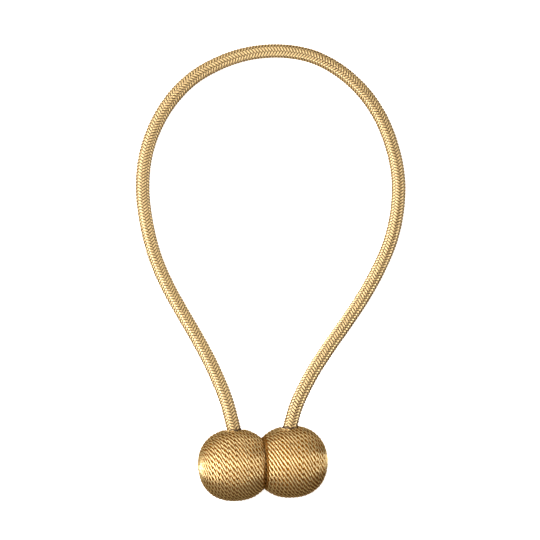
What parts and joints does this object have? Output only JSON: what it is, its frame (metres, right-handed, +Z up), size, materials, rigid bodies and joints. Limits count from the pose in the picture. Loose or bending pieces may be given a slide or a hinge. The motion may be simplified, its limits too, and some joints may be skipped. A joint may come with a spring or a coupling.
{
  "type": "magnetic curtain tieback",
  "caption": "Magnetic curtain tieback: a loop of gold braided cord whose ends run into a pair of thread-wound balls that hold each other face to face.",
  "frame": {"origin": "on the surface that it lies on, under the middle of the pair of balls", "axes": "+X along the pair of balls, +Y from the balls towards the top of the loop, +Z up"},
  "size_m": [0.1364, 0.2277, 0.0354],
  "materials": {
    "braided_cord": "satin gold braid",
    "wound_thread": "satin gold twisted thread"
  },
  "bodies": {
    "root": {"braided_cord": "braided_cord", "left_ball": "wound_thread", "right_ball": "wound_thread"}
  },
  "joints": []
}
